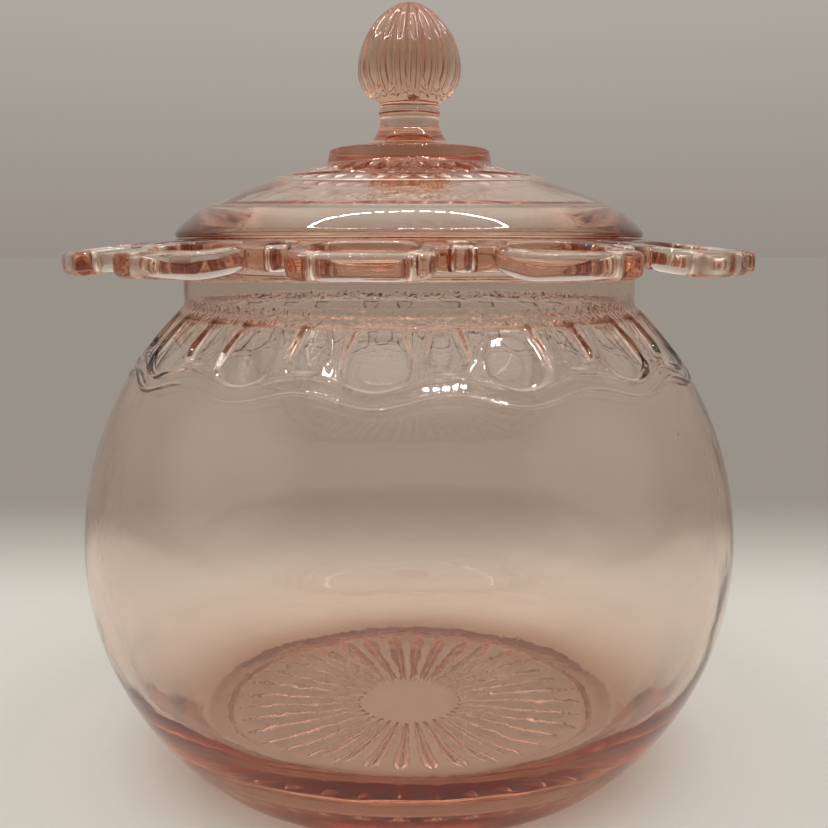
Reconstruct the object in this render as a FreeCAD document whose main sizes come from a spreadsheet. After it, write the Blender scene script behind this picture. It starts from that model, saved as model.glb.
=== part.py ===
import FreeCAD, Part
import math
import os
import Sketcher

# A pressed-glass sweet jar in two pieces, each one pressing.
#   jar  round bowl on a flat foot, short neck, and a flat openwork "lace" flange round the mouth
#   lid  low dome with a locating ring below, and a collar, stem and ribbed bud-shaped knob on top
# Millimetres, +Z up.  The origin is the middle of the foot, on the surface that the jar stands on.
# The lid is drawn in its own frame, whose zero is the flat face that sits over the flange.

TOUCH = 0.01            # two heights or radii closer than this are the same

doc = FreeCAD.newDocument("sweet_jar")

# ---- sizes ---------------------------------------------------------------------------------------
# A number drives the model; a formula is worked out from the numbers.  Lengths in mm, angles in degrees.

SIZES = [
    # bowl
    ("belly_radius", 82.3, "outside radius of the bowl at its widest"),
    ("belly_height", 54.0, "height of the widest place above the table"),
    ("foot_radius", 58.0, "outside radius of the foot, where it meets the table"),
    ("jar_wall", 3.2, "glass thickness at the belly"),
    ("floor_corner", 34.0, "hollow radius where the inside wall meets the floor"),
    ("base_thickness", 8.0, "height of the inside floor above the table"),
    ("recess_radius", 49.0, "radius of the shallow recess under the base"),
    ("base_recess", 1.0, "depth of that recess"),
    ("foot_slope", 1.2, "width of the slope from the recess to the foot"),
    ("foot_rounding", 3.0, "rounding of the outer corner of the foot"),
    ("belly_lower_arc",
     "=((belly_radius - foot_radius)^2 + belly_height^2) / (2 * (belly_radius - foot_radius))",
     "radius of the outside arc from foot to belly"),
    ("foot_inner", "=recess_radius + foot_slope", "inner radius of the flat foot"),
    ("inner_radius", "=belly_radius - jar_wall", "inside radius of the bowl at its widest"),
    ("side_arc", "=belly_lower_arc - jar_wall", "radius of the inside wall below the widest place"),
    ("side_axis", "=belly_radius - belly_lower_arc", "distance of that arc's centre from the axis"),
    ("corner_height", "=base_thickness + floor_corner", "height of the floor corner's centre"),
    ("corner_span", "=side_arc - floor_corner", "between the centres of side and corner"),
    ("floor_radius", "=side_axis + sqrt(corner_span^2 - (belly_height - corner_height)^2)",
     "radius of the flat floor inside"),
    ("side_foot", "=side_axis + (floor_radius - side_axis) * side_arc / corner_span",
     "where side meets corner, out"),
    ("side_foot_height", "=belly_height - (belly_height - corner_height) * side_arc / corner_span",
     "and up"),
    # sunburst under the base
    ("ray_count", 36, "rays in the pressed sunburst"),
    ("ray_start", 14.4, "distance of a ray's inner end from the centre"),
    ("ray_tip", 46.6, "distance of a ray's outer tip from the centre"),
    ("ray_shoulder", 40.0, "distance at which a ray is widest"),
    ("ray_start_half", 0.45, "half the width of a ray at its inner end"),
    ("ray_half", 1.75, "half the width of a ray at its widest"),
    ("ray_depth", 0.8, "depth of a ray above the recess"),
    ("ray_cut", "=base_recess + ray_depth", "depth of the ray pocket from the table plane"),
    # neck and flange
    ("mouth_radius", 52.5, "inside radius of the mouth and neck"),
    ("neck_wall", 4.0, "glass thickness of the neck"),
    ("neck_rise", 16.0, "from the shoulder corner up to the flange's top"),
    ("neck_fillet", 4.0, "hollow radius between neck and flange"),
    ("mouth_rounding", 1.2, "rounding of the mouth's inner edge"),
    ("flange_reach", 27.8, "width of the flange, from neck to lace edge"),
    ("flange_thickness", 5.0, "glass thickness of the flange"),
    ("flange_droop", 3.0, "how much lower the flange's outer edge is"),
    ("seat_margin", 0.8, "how far the flat seat runs on past the lid"),
    ("edge_bevel", 3.0, "bevel under the outer edge"),
    ("edge_rounding", 0.9, "rounding of the outer edge's top"),
    ("neck_radius", "=mouth_radius + neck_wall", "outside radius of the neck"),
    ("neck_base", "=belly_height + sqrt(belly_radius^2 - neck_radius^2)",
     "height of the shoulder corner"),
    ("inner_neck_base", "=belly_height + sqrt(inner_radius^2 - mouth_radius^2)",
     "the same corner inside"),
    ("flange_height", "=neck_base + neck_rise", "height of the flat seat round the mouth"),
    ("flange_root", "=flange_height - flange_thickness", "underside of the flange at the neck"),
    ("neck_top", "=flange_root - neck_fillet", "upper end of the straight neck"),
    ("fillet_end", "=neck_radius + neck_fillet", "outer end of the neck's hollow"),
    ("lace_radius", "=neck_radius + flange_reach", "radius of the lace edge's longest loops"),
    ("edge_top", "=flange_height - flange_droop", "top of the outer edge"),
    ("edge_under", "=edge_top - flange_thickness", "underside at the outer edge"),
    ("edge_low", "=edge_under + edge_bevel", "upper end of the bevel"),
    ("edge_high", "=edge_top - edge_rounding", "lower end of the top's rounding"),
    ("bevel_radius", "=lace_radius - edge_bevel", "inner end of the bevel"),
    ("rounding_radius", "=lace_radius - edge_rounding", "inner end of the top's rounding"),
    ("mouth_lip", "=mouth_radius + mouth_rounding", "outer end of the mouth's rounding"),
    ("seat_radius", "=mouth_radius + lid_overlap + seat_margin", "outer end of the flat seat"),
    ("mouth_low", "=flange_height - mouth_rounding", "lower end of the mouth's rounding"),
    # lace openwork: twelve wide loops, and between them twelve narrow ones, set back
    ("lace_count", 12, "wide loops, and as many narrow ones"),
    ("lace_turn", 16.43, "angle of the first wide loop from +X"),
    ("lace_band", 4.6, "width of the glass outside a window"),
    ("wide_root", 9.0, "from the neck out to a wide window"),
    ("wide_inner_half", 6.6, "half the width of a wide window near the neck"),
    ("wide_outer_half", 8.6, "half its width near the edge"),
    ("wide_side_arc", 9.0, "radius of its side"),
    ("wide_end_arc", 30.0, "radius of its inner and outer ends"),
    ("loop_setback", 9.8, "how far a narrow loop is set back from the lace edge"),
    ("narrow_root", 7.6, "from the neck out to a narrow window"),
    ("narrow_inner_half", 1.5, "half the width of a narrow window near the neck"),
    ("narrow_outer_half", 2.1, "half its width near the edge"),
    ("narrow_side_arc", 12.0, "radius of its side"),
    ("narrow_end_arc", 2.4, "radius of its inner and outer ends"),
    ("narrow_band", 3.4, "width of the glass outside a narrow window"),
    ("notch_mouth_half", 11.0, "half the width of a notch at the lace edge"),
    ("notch_side_arc", 16.0, "radius of a wide loop's rounded side"),
    ("notch_root_half", 5.6, "half the width of a notch at its root"),
    ("notch_root_drop", 2.6, "how far the notch's corners lie behind the narrow loop"),
    ("notch_overrun", 1.0, "how far the notch is drawn past the edge"),
    ("lace_clear", 1.0, "how far the lace cuts start above the flange"),
    ("notch_loop_arc", "=(notch_root_half^2 + notch_root_drop^2) / (2 * notch_root_drop)",
     "radius of the narrow loop's front"),
    ("wide_bulge", "=wide_end_arc - sqrt(wide_end_arc^2 - wide_outer_half^2)", "bulge of its outer end"),
    ("narrow_bulge", "=narrow_end_arc - sqrt(narrow_end_arc^2 - narrow_outer_half^2)",
     "bulge of its outer end"),
    ("wide_inner", "=neck_radius + wide_root", "inner corners of a wide window"),
    ("wide_outer", "=lace_radius - lace_band - wide_bulge", "outer corners of a wide window"),
    ("narrow_inner", "=neck_radius + narrow_root", "inner corners of a narrow window"),
    ("loop_radius", "=lace_radius - loop_setback", "radius of the narrow loops"),
    ("narrow_outer", "=loop_radius - narrow_band - narrow_bulge", "outer corners of a narrow window"),
    ("notch_root", "=loop_radius - notch_root_drop", "radius of the notch's corners"),
    ("notch_mouth", "=lace_radius + notch_overrun", "outer end of the notch"),
    ("notch_turn", "=lace_turn + 180 / lace_count", "angle of the first notch from +X"),
    ("lace_cut_top", "=flange_height + lace_clear", "height at which the lace cuts start"),
    ("lace_cut_depth", "=lace_cut_top - edge_under + lace_clear", "how deep the lace cuts go"),
    # pressed panels round the shoulder, wide and narrow in turn
    ("panel_count", 14, "wide panels, and as many narrow ones"),
    ("panel_drop", 7.15, "from the shoulder corner down to the panels' middle, in degrees of latitude"),
    ("panel_depth", 0.9, "depth of a panel at its middle"),
    ("panel_top", 8.4, "from that latitude up to a panel's top"),
    ("wide_panel_half", 5.8, "half the width of a wide panel at its top"),
    ("wide_panel_foot", 4.9, "from the latitude down to where its round foot starts"),
    ("wide_panel_foot_half", 7.1, "half its width there"),
    ("wide_panel_arc", 9.6, "radius of its round foot"),
    ("narrow_panel_half", 3.9, "half the width of a narrow panel at its top"),
    ("narrow_panel_foot", 0.6, "from the latitude down to its foot"),
    ("narrow_panel_foot_half", 4.4, "half its width there"),
    ("narrow_panel_arc", 4.8, "radius of its round foot"),
    ("panel_cut_clear", 1.0, "how far a panel's cut starts outside the bowl"),
    ("panel_cut_depth", "=panel_cut_clear + panel_depth", "how deep a panel's cut goes"),
    ("panel_tilt", "=acos(neck_radius / belly_radius) / (1 deg) - panel_drop",
     "latitude of the panels' middle"),
    ("panel_reach", "=(belly_radius + panel_cut_clear) * cos(panel_tilt * 1 deg)",
     "the cut's start, out"),
    ("panel_height", "=belly_height + (belly_radius + panel_cut_clear) * sin(panel_tilt * 1 deg)",
     "the cut's start, up"),
    ("wide_panel_low", "=-wide_panel_foot", "height of a wide panel's foot in its own plane"),
    ("narrow_panel_low", "=-narrow_panel_foot", "height of a narrow panel's foot in its own plane"),
    # lid
    ("seat_gap", 0.3, "clearance between lid and flange"),
    ("ring_clearance", 0.5, "clearance between the lid's ring and the mouth"),
    ("ring_depth", 5.0, "how far the ring reaches into the mouth"),
    ("ring_wall", 3.6, "thickness of the ring"),
    ("lid_overlap", 5.5, "how far the lid covers the flange"),
    ("lid_edge", 1.3, "height of the lid's upright edge"),
    ("lid_shoulder_in", 7.3, "from the lid's edge in to its shoulder"),
    ("lid_shoulder_rise", 7.2, "height of that shoulder"),
    ("lid_shoulder_arc", 22.0, "radius of the curve from edge to shoulder"),
    ("dome_arc", 140.0, "radius of the dome above the shoulder"),
    ("dome_rise", 17.8, "height of the dome at the collar"),
    ("dome_glass", 3.5, "height of glass between hollow and collar"),
    ("rim_glass", 4.3, "height of the hollow's edge above the seat"),
    ("hollow_step", 3.0, "from the collar's radius in to the hollow's flat top"),
    ("collar_radius", 20.8, "radius of the collar under the stem"),
    ("collar_thickness", 3.9, "height of the collar's side"),
    ("collar_draft", 0.8, "how much the collar narrows upwards"),
    ("collar_crown", 0.9, "rise of the collar's top towards the stem"),
    ("stem_spread", 4.8, "how much wider the stem is at the collar"),
    ("stem_flare_arc", 6.6, "radius of the stem's flare"),
    ("stem_radius", 7.4, "radius of the stem"),
    ("stem_flare_rise", 6.0, "height of the flare"),
    ("bud_start", 33.1, "height at which the bud leaves the stem"),
    ("bud_radius", 12.85, "radius of the bud at its widest"),
    ("bud_belt", 40.8, "height of the bud's widest place"),
    ("bud_top", 57.1, "height of the bud's tip"),
    ("tip_radius", 3.0, "radius of the rounded tip"),
    ("tip_rise", 0.5, "height of the rounded tip"),
    ("ring_outer", "=mouth_radius - ring_clearance", "outside radius of the ring"),
    ("ring_inner", "=ring_outer - ring_wall", "inside radius of the ring"),
    ("ring_bottom", "=-ring_depth", "height of the ring's lower edge"),
    ("lid_radius", "=mouth_radius + lid_overlap", "radius of the lid"),
    ("lid_shoulder", "=lid_radius - lid_shoulder_in", "radius of the lid's shoulder"),
    ("hollow_radius", "=collar_radius - hollow_step", "radius of the hollow's flat top"),
    ("hollow_top", "=dome_rise - dome_glass", "height of the hollow's flat top"),
    ("collar_side_top", "=dome_rise + collar_thickness", "top of the collar's side"),
    ("collar_top_radius", "=collar_radius - collar_draft", "radius of the collar's top"),
    ("stem_foot", "=stem_radius + stem_spread", "radius of the stem at the collar"),
    ("stem_foot_height", "=collar_side_top + collar_crown", "height of the stem's foot"),
    ("stem_flare_top", "=stem_foot_height + stem_flare_rise", "upper end of the flare"),
    ("bud_lower_arc",
     "=((bud_radius - stem_radius)^2 + (bud_belt - bud_start)^2) / (2 * (bud_radius - stem_radius))",
     "radius of the bud below its belt"),
    ("tip_start", "=bud_top - tip_rise", "height at which the rounded tip starts"),
    ("tip_arc", "=(tip_radius^2 + tip_rise^2) / (2 * tip_rise)", "radius of the rounded tip"),
    ("bud_upper_arc",
     "=((bud_radius - tip_radius)^2 + (tip_start - bud_belt)^2) / (2 * (bud_radius - tip_radius))",
     "radius of the bud above its belt"),
    ("bud_lower_axis", "=bud_radius - bud_lower_arc", "centre of the lower arc"),
    ("bud_upper_axis", "=bud_radius - bud_upper_arc", "centre of the upper arc"),
    # flutes between the bud's ribs, and leaves round the collar
    ("rib_count", 18, "ribs on the bud"),
    ("flute_radius", 1.5, "radius of the flute between two ribs"),
    ("flute_depth", 0.7, "depth of a flute"),
    ("flute_up", 50.0, "how far a flute runs up from the belt, in degrees of arc"),
    ("flute_down", 60.0, "how far it runs down"),
    ("flute_centre", "=bud_radius + flute_radius - flute_depth", "centre of the flute's round section"),
    ("leaf_count", 36, "pointed leaves round the collar"),
    ("leaf_half", 1.6, "half the width of a leaf"),
    ("leaf_length", 10.5, "length of a leaf"),
    ("leaf_depth", 0.6, "depth of a leaf"),
    ("leaf_clear", 0.5, "how far a leaf's cut starts outside the dome"),
    ("leaf_gap", 0.8, "from the collar out to a leaf"),
    ("leaf_middle_half", "=leaf_length / 2", "from a leaf's middle to its end"),
    ("leaf_middle", "=collar_radius + leaf_gap + leaf_middle_half",
     "distance of a leaf's middle from the axis"),
    ("dome_run", "=lid_shoulder - collar_radius", "width of the dome's arc"),
    ("dome_fall", "=dome_rise - lid_shoulder_rise", "height of the dome's arc"),
    ("dome_chord", "=sqrt(dome_run^2 + dome_fall^2)", "between the arc's ends"),
    ("dome_offset", "=sqrt(dome_arc^2 - dome_chord^2 / 4)", "from that chord to the arc's centre"),
    ("dome_axis", "=(lid_shoulder + collar_radius) / 2 - dome_offset * dome_fall / dome_chord",
     "the centre, out"),
    ("dome_centre", "=(dome_rise + lid_shoulder_rise) / 2 - dome_offset * dome_run / dome_chord",
     "the centre, up"),
    ("leaf_tilt", "=acos((leaf_middle - dome_axis) / dome_arc) / (1 deg)",
     "slope of the dome's normal there, from level"),
    ("leaf_reach", "=dome_axis + (dome_arc + leaf_clear) * cos(leaf_tilt * 1 deg)",
     "the leaf cut's start, out"),
    ("leaf_height", "=dome_centre + (dome_arc + leaf_clear) * sin(leaf_tilt * 1 deg)",
     "the leaf cut's start, up"),
    ("leaf_cut_depth", "=leaf_clear + leaf_depth", "how deep a leaf's cut goes"),
    ("leaf_low", "=-leaf_middle_half", "outer end of a leaf in its own plane"),
    # where the lid sits
    ("lid_height", "=flange_height + seat_gap", "height of the lid's own zero"),
]

sheet = doc.addObject("Spreadsheet::Sheet", "Sizes")
for row, (alias, value, meaning) in enumerate(SIZES, start=1):
    sheet.set("A%d" % row, meaning)
    sheet.set("B%d" % row, str(value))
    sheet.setAlias("B%d" % row, alias)
doc.recompute()


def size(alias):
    """The number behind an alias; none is zero."""
    if alias is None:
        return 0.0
    return float(sheet.get(alias))


def bind(thing, path, alias):
    """Tie one property or constraint to a cell of the sheet."""
    thing.setExpression(path, "Sizes." + alias)


# ---- sketching -----------------------------------------------------------------------------------

def new_body(label):
    body = doc.addObject("PartDesign::Body", label)
    body.Label = label
    return body


def origin_feature(body, role):
    return [item for item in body.Origin.OriginFeatures if item.Role == role][0]


def new_sketch(body, name, role):
    """A sketch on one of the body's own origin planes."""
    sketch = body.newObject("Sketcher::SketchObject", name)
    sketch.AttachmentSupport = [(origin_feature(body, role), "")]
    sketch.MapMode = "FlatFace"
    return sketch


def raise_sketch(sketch, height, turn=None):
    """Lift a sketch on the level plane, and turn it about the jar's axis."""
    upright = FreeCAD.Vector(0, 0, 1)
    sketch.AttachmentOffset = FreeCAD.Placement(
        upright * size(height), FreeCAD.Rotation(upright, size(turn)))
    bind(sketch, ".AttachmentOffset.Base.z", height)
    if turn:
        bind(sketch, ".AttachmentOffset.Rotation.Angle", turn)


def lean_sketch(sketch, reach, height, tilt):
    """Move a sketch on an upright plane out and up, and lean it back until it looks up by tilt."""
    sketch.AttachmentOffset = FreeCAD.Placement(
        FreeCAD.Vector(0, size(height), size(reach)),
        FreeCAD.Rotation(FreeCAD.Vector(-1, 0, 0), size(tilt)))
    bind(sketch, ".AttachmentOffset.Base.y", height)
    bind(sketch, ".AttachmentOffset.Base.z", reach)
    bind(sketch, ".AttachmentOffset.Rotation.Angle", tilt)


def number_of(name):
    """The number behind an alias.  None is zero, and a leading minus mirrors it."""
    if name is None:
        return 0.0
    if name.startswith("-"):
        return -size(name[1:])
    return size(name)


def cell_of(name):
    """The same as an expression."""
    if name.startswith("-"):
        return "-Sizes." + name[1:]
    return "Sizes." + name


def arc_to(start, end, radius, turn):
    """The shorter arc of this radius from start to end, for a path that turns left or right."""
    chord = end - start
    to_centre = FreeCAD.Vector(-chord.y, chord.x, 0).normalize()
    if turn == "right":
        to_centre = -to_centre
    reach = math.sqrt(radius ** 2 - (chord.Length / 2) ** 2)
    centre = (start + end) / 2 + to_centre * reach
    angles = [math.atan2(place.y - centre.y, place.x - centre.x) for place in (start, end)]
    if turn == "right":
        angles.reverse()
    return Part.ArcOfCircle(Part.Circle(centre, FreeCAD.Vector(0, 0, 1), radius), *angles)


def hold(sketch, geometry, vertex, place):
    """Hold one end of a line or arc at a pair of cells; None puts it on the sketch's own axis."""
    for axis, line, name in (("X", -2, place[0]), ("Y", -1, place[1])):
        if name is None:
            sketch.addConstraint(Sketcher.Constraint("PointOnObject", geometry, vertex, line))
            continue
        constraint = sketch.addConstraint(
            Sketcher.Constraint("Distance" + axis, geometry, vertex, number_of(name)))
        sketch.setExpression("Constraints[%d]" % constraint, cell_of(name))


def draw(sketch, places):
    """Draw a closed outline, anticlockwise.

    Each place is (x, y) for a line to it, or (x, y, radius, turn) for an arc that turns left or right.
    x, y and radius name cells, so every corner and every arc follows the sheet.
    """
    corners = [FreeCAD.Vector(number_of(place[0]), number_of(place[1]), 0) for place in places]
    for index, place in enumerate(places):
        start = corners[index - 1]
        end = corners[index]
        if len(place) == 2:
            sketch.addGeometry(Part.LineSegment(start, end), False)
        else:
            sketch.addGeometry(arc_to(start, end, number_of(place[2]), place[3]), False)

    # An arc keeps its ends anticlockwise, so one that turns right starts at its second vertex.
    first = [2 if place[-1] == "right" else 1 for place in places]
    for index, place in enumerate(places):
        following = (index + 1) % len(places)
        last = 3 - first[index]
        sketch.addConstraint(Sketcher.Constraint(
            "Coincident", index, last, following, first[following]))
        hold(sketch, index, last, place[:2])
        if len(place) == 4:
            constraint = sketch.addConstraint(
                Sketcher.Constraint("Radius", index, number_of(place[2])))
            sketch.setExpression("Constraints[%d]" % constraint, cell_of(place[2]))


# ---- features ------------------------------------------------------------------------------------

def revolve(body, name, sketch):
    """Turn an outline about the jar's axis."""
    feature = body.newObject("PartDesign::Revolution", name)
    feature.Profile = sketch
    feature.ReferenceAxis = (sketch, ["V_Axis"])
    feature.Angle = 360
    doc.recompute()
    return feature


def check_cut(body, name, before):
    """A cut that points away from the glass takes nothing away and shows no error."""
    if not body.Shape.Volume < before:
        raise RuntimeError(name + " cuts nothing")


def pocket(body, name, sketch, depth, upwards=False):
    """Cut the sketch into the body, against the way it faces unless upwards."""
    before = body.Shape.Volume
    feature = body.newObject("PartDesign::Pocket", name)
    feature.Profile = sketch
    feature.Type = "Length"
    feature.Reversed = upwards
    bind(feature, "Length", depth)
    doc.recompute()
    check_cut(body, name, before)
    return feature


def repeat(body, name, features, count):
    """Repeat features evenly round the jar's axis."""
    before = body.Shape.Volume
    pattern = body.newObject("PartDesign::PolarPattern", name)
    pattern.Originals = features
    pattern.Axis = (origin_feature(body, "Z_Axis"), [""])
    pattern.Angle = 360
    bind(pattern, "Occurrences", count)
    body.Tip = pattern
    doc.recompute()
    check_cut(body, name, before)
    return pattern


# ---- jar -----------------------------------------------------------------------------------------

def press_jar(jar):
    """Bowl, foot, neck and flange in one outline turned about the axis."""
    outline = new_sketch(jar, "jar_outline", "XZ_Plane")
    draw(outline, [
        ("recess_radius", "base_recess"),
        ("foot_inner", None),
        ("foot_radius", None),
        ("belly_radius", "belly_height", "belly_lower_arc", "left"),
        ("neck_radius", "neck_base", "belly_radius", "left"),
        ("neck_radius", "neck_top"),
        ("fillet_end", "flange_root", "neck_fillet", "right"),
        ("bevel_radius", "edge_under"),
        ("lace_radius", "edge_low"),
        ("lace_radius", "edge_high"),
        ("rounding_radius", "edge_top", "edge_rounding", "left"),
        ("seat_radius", "flange_height"),
        ("mouth_lip", "flange_height"),
        ("mouth_radius", "mouth_low", "mouth_rounding", "left"),
        ("mouth_radius", "inner_neck_base"),
        ("inner_radius", "belly_height", "inner_radius", "right"),
        ("side_foot", "side_foot_height", "side_arc", "right"),
        ("floor_radius", "base_thickness", "floor_corner", "right"),
        (None, "base_thickness"),
        (None, "base_recess"),
    ])
    revolve(jar, "jar_pressing", outline)


def round_foot(jar):
    """Round the outer corner of the foot: the circle of foot_radius that lies on the table."""
    names = []
    for number, edge in enumerate(jar.Shape.Edges, start=1):
        box = edge.BoundBox
        if abs(box.ZMax) < TOUCH and abs(box.XMax - size("foot_radius")) < TOUCH:
            names.append("Edge%d" % number)
    pressing = jar.Tip
    fillet = jar.newObject("PartDesign::Fillet", "foot_corner")
    fillet.Base = (pressing, names)
    bind(fillet, "Radius", "foot_rounding")
    doc.recompute()


def cut_window(jar, kind, turn):
    """A cushion-shaped window with four bulging sides, in the middle of a loop of the lace."""
    sketch = new_sketch(jar, kind + "_window", "XY_Plane")
    raise_sketch(sketch, "lace_cut_top", turn)
    draw(sketch, [
        (kind + "_outer", "-%s_outer_half" % kind, kind + "_side_arc", "left"),
        (kind + "_outer", kind + "_outer_half", kind + "_end_arc", "left"),
        (kind + "_inner", kind + "_inner_half", kind + "_side_arc", "left"),
        (kind + "_inner", "-%s_inner_half" % kind, kind + "_end_arc", "left"),
    ])
    return pocket(jar, kind + "_window_cut", sketch, "lace_cut_depth")


def cut_notch(jar):
    """What is cut away between two wide loops, down to the front of the narrow loop between them."""
    sketch = new_sketch(jar, "notch", "XY_Plane")
    raise_sketch(sketch, "lace_cut_top", "notch_turn")
    draw(sketch, [
        ("notch_mouth", "notch_mouth_half"),
        ("notch_root", "notch_root_half", "notch_side_arc", "right"),
        ("notch_root", "-notch_root_half", "notch_loop_arc", "right"),
        ("notch_mouth", "-notch_mouth_half", "notch_side_arc", "right"),
    ])
    return pocket(jar, "notch_cut", sketch, "lace_cut_depth")


def cut_lace(jar):
    """Twelve wide loops and twelve narrow ones set back between them, with a window in each."""
    cuts = [
        cut_notch(jar),
        cut_window(jar, "wide", "lace_turn"),
        cut_window(jar, "narrow", "notch_turn"),
    ]
    repeat(jar, "lace", cuts, "lace_count")


def cut_sunburst(jar):
    """Long pointed rays pressed up into the recess under the base."""
    sketch = new_sketch(jar, "ray", "XY_Plane")
    draw(sketch, [
        ("ray_shoulder", "-ray_half"),
        ("ray_tip", None),
        ("ray_shoulder", "ray_half"),
        ("ray_start", "ray_start_half"),
        ("ray_start", "-ray_start_half"),
    ])
    ray = pocket(jar, "ray_cut_up", sketch, "ray_cut", upwards=True)
    repeat(jar, "sunburst", [ray], "ray_count")


def cut_panel(jar, kind, role):
    """A panel with a round foot, sunk into the shoulder square to the bowl."""
    sketch = new_sketch(jar, kind + "_panel", role)
    lean_sketch(sketch, "panel_reach", "panel_height", "panel_tilt")
    draw(sketch, [
        (kind + "_panel_foot_half", kind + "_panel_low", kind + "_panel_arc", "left"),
        (kind + "_panel_half", "panel_top"),
        ("-%s_panel_half" % kind, "panel_top"),
        ("-%s_panel_foot_half" % kind, kind + "_panel_low"),
    ])
    return pocket(jar, kind + "_panel_cut", sketch, "panel_cut_depth")


def cut_panels(jar):
    """Wide panels start on +X.  A quarter turn is a whole number of panels and a half, so narrow
    ones start on -Y."""
    cuts = [cut_panel(jar, "wide", "YZ_Plane"), cut_panel(jar, "narrow", "XZ_Plane")]
    repeat(jar, "shoulder_panels", cuts, "panel_count")


def make_jar():
    jar = new_body("jar")
    press_jar(jar)
    round_foot(jar)
    cut_lace(jar)
    cut_sunburst(jar)
    cut_panels(jar)
    return jar


# ---- lid -----------------------------------------------------------------------------------------

def press_lid(lid):
    """Ring, dome, collar, stem and bud in one outline turned about the axis."""
    outline = new_sketch(lid, "lid_outline", "XZ_Plane")
    draw(outline, [
        ("hollow_radius", "hollow_top"),
        ("ring_inner", "rim_glass", "dome_arc", "right"),
        ("ring_inner", "ring_bottom"),
        ("ring_outer", "ring_bottom"),
        ("ring_outer", None),
        ("lid_radius", None),
        ("lid_radius", "lid_edge"),
        ("lid_shoulder", "lid_shoulder_rise", "lid_shoulder_arc", "left"),
        ("collar_radius", "dome_rise", "dome_arc", "left"),
        ("collar_top_radius", "collar_side_top"),
        ("stem_foot", "stem_foot_height"),
        ("stem_radius", "stem_flare_top", "stem_flare_arc", "right"),
        ("stem_radius", "bud_start"),
        ("bud_radius", "bud_belt", "bud_lower_arc", "left"),
        ("tip_radius", "tip_start", "bud_upper_arc", "left"),
        (None, "bud_top", "tip_arc", "left"),
        (None, "hollow_top"),
    ])
    revolve(lid, "lid_pressing", outline)


def cut_flute(lid, name, axis, angle, downwards):
    """A round-bottomed groove that follows the bud's side, turned about the centre of its arc."""
    before = lid.Shape.Volume
    sketch = new_sketch(lid, name + "_section", "XY_Plane")
    raise_sketch(sketch, "bud_belt")
    centre = FreeCAD.Vector(size("flute_centre"), 0, 0)
    sketch.addGeometry(Part.Circle(centre, FreeCAD.Vector(0, 0, 1), size("flute_radius")), False)
    radius = sketch.addConstraint(Sketcher.Constraint("Radius", 0, size("flute_radius")))
    sketch.setExpression("Constraints[%d]" % radius, "Sizes.flute_radius")
    hold(sketch, 0, 3, ("flute_centre", None))
    foot = FreeCAD.Vector(size(axis), 0, 0)
    top = FreeCAD.Vector(size(axis), size("flute_radius"), 0)
    sketch.addGeometry(Part.LineSegment(foot, top), True)
    hold(sketch, 1, 1, (axis, None))
    hold(sketch, 1, 2, (axis, "flute_radius"))
    groove = lid.newObject("PartDesign::Groove", name)
    groove.Profile = sketch
    groove.ReferenceAxis = (sketch, ["Axis0"])
    groove.Reversed = downwards
    bind(groove, "Angle", angle)
    doc.recompute()
    check_cut(lid, name, before)
    return groove


def cut_flutes(lid):
    """The grooves between the ribs of the bud."""
    flutes = [
        cut_flute(lid, "flute_above", "bud_upper_axis", "flute_up", downwards=False),
        cut_flute(lid, "flute_below", "bud_lower_axis", "flute_down", downwards=True),
    ]
    repeat(lid, "bud_flutes", flutes, "rib_count")


def cut_leaves(lid):
    """A ring of pointed leaves pressed into the dome round the collar."""
    sketch = new_sketch(lid, "leaf", "XZ_Plane")
    lean_sketch(sketch, "leaf_reach", "leaf_height", "leaf_tilt")
    draw(sketch, [
        ("leaf_half", None),
        (None, "leaf_middle_half"),
        ("-leaf_half", None),
        (None, "leaf_low"),
    ])
    leaf = pocket(lid, "leaf_cut", sketch, "leaf_cut_depth")
    repeat(lid, "leaf_ring", [leaf], "leaf_count")


def make_lid():
    lid = new_body("lid")
    press_lid(lid)
    cut_flutes(lid)
    cut_leaves(lid)
    lid.Placement = FreeCAD.Placement(
        FreeCAD.Vector(0, 0, size("lid_height")), FreeCAD.Rotation())
    bind(lid, ".Placement.Base.z", "lid_height")
    return lid


# ---- build, check and write ----------------------------------------------------------------------

def check_document():
    for item in doc.Objects:
        if "Invalid" in item.State or "Error" in item.State:
            raise RuntimeError(item.Label + " failed to build")


def check_piece(piece):
    shape = piece.Shape
    if shape.isNull() or not shape.isValid():
        raise RuntimeError(piece.Label + " is not a valid solid")
    if len(shape.Solids) != 1:
        raise RuntimeError("%s is %d solids" % (piece.Label, len(shape.Solids)))


pieces = [make_jar(), make_lid()]
doc.recompute()
check_document()
for piece in pieces:
    check_piece(piece)

os.makedirs("parts", exist_ok=True)
for piece in pieces:
    piece.Shape.exportStep(os.path.join("parts", piece.Label + ".step"))
    box = piece.Shape.BoundBox
    print("%-4s %8.0f mm3, %.1f x %.1f mm, from %.1f to %.1f mm high" % (
        piece.Label, piece.Shape.Volume, box.XLength, box.YLength, box.ZMin, box.ZMax))
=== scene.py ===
# %% [markdown]
# # A covered sweet jar in pale pink pressed glass
# The real jar is two pressings. The jar itself is a round bowl on a flat foot, with a short neck and a flat
# flange cut into open lace. The lid is a low dome with a ring below it and a ribbed bud for a knob.
# Both come from iron moulds, so each is one closed skin of glass: a turned outline with a pattern that
# repeats round the axis. This file builds each skin from flat pattern sheets, wraps them round the axis
# with Geometry Nodes, and gives them a glass whose colour comes from its thickness.
# The frame holds the measured design, and everything here is placed from it.

# %% Load the frame
import math

import bmesh
import bpy
import numpy as np
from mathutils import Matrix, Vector
from mathutils.geometry import delaunay_2d_cdt


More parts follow.
